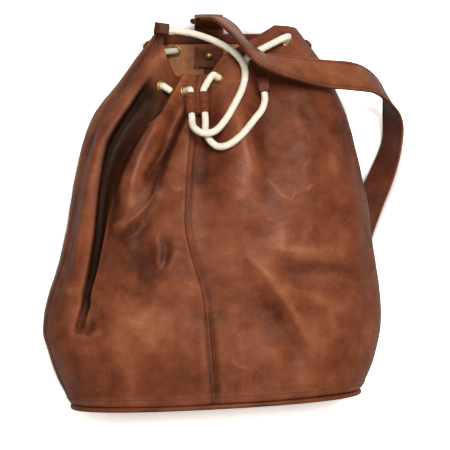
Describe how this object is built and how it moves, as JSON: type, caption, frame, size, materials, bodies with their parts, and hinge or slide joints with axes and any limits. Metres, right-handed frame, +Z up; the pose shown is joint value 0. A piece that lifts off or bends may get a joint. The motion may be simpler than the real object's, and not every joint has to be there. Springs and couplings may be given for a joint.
{
  "type": "drawstring duffle backpack",
  "caption": "Brown leather drawstring duffle backpack lying on its back, with gathered mouth, cotton drawcord, leather cord stopper, single shoulder strap and key ring inside.",
  "frame": {"origin": "on the flat of the back panel that lies on the table, below the front seam line", "axes": "+X to the right seen from the front, +Y from the base towards the mouth, +Z up off the table, out of the front"},
  "size_m": [0.3988, 0.4345, 0.1518],
  "materials": {
    "leather": "waxed pull-up leather with scuffs",
    "suede": "raw flesh side",
    "strap_lining": "smooth dark lining leather",
    "cotton_cord": "braided cotton",
    "brass": "antique brass",
    "dark_metal": "gunmetal",
    "bright_metal": "bright nickel",
    "board": "pressed fibre board"
  },
  "bodies": {
    "bag": {"front_left_panel": "leather", "front_right_panel": "leather", "back_panel": "leather", "base_welt": "leather", "base_panel": "leather", "back_tab": "leather", "strap_face": "leather", "key_patch": "leather", "cord_cap_left": "leather", "cord_cap_right": "leather", "rim_facing": "suede", "strap_lining": "strap_lining", "key_loop": "strap_lining", "drawcord_mouth": "cotton_cord", "drawcord_end_left": "cotton_cord", "drawcord_end_right": "cotton_cord", "eyelet_01": "brass", "eyelet_02": "brass", "eyelet_03": "brass", "eyelet_04": "brass", "eyelet_05": "brass", "eyelet_06": "brass", "eyelet_07": "brass", "eyelet_08": "brass", "eyelet_09": "brass", "eyelet_10": "brass", "eyelet_11": "brass", "eyelet_12": "brass", "tab_rivet": "brass", "strap_rivet_1": "brass", "strap_rivet_2": "brass", "base_board": "board"},
    "stopper": {"cord_stopper": "leather"},
    "key_ring": {"key_ring": "bright_metal"},
    "strap_ring": {"strap_ring": "dark_metal"}
  },
  "joints": [
    {"name": "stopper_slide", "type": "slide", "parent": "bag", "child": "stopper", "axis": [0.0621, -0.9108, 0.4081], "range_m": [-0.002, 0.006]},
    {"name": "key_ring_swing", "type": "hinge", "parent": "bag", "child": "key_ring", "pos_m": [-0.006, 0.15885, 0.01683], "axis": [-1, 0, 0], "range_deg": [0, 150]},
    {"name": "strap_ring_tilt", "type": "hinge", "parent": "bag", "child": "strap_ring", "pos_m": [-0.006, 0.21745, 0.02145], "axis": [1, 0, 0], "range_deg": [-6, 6]}
  ]
}
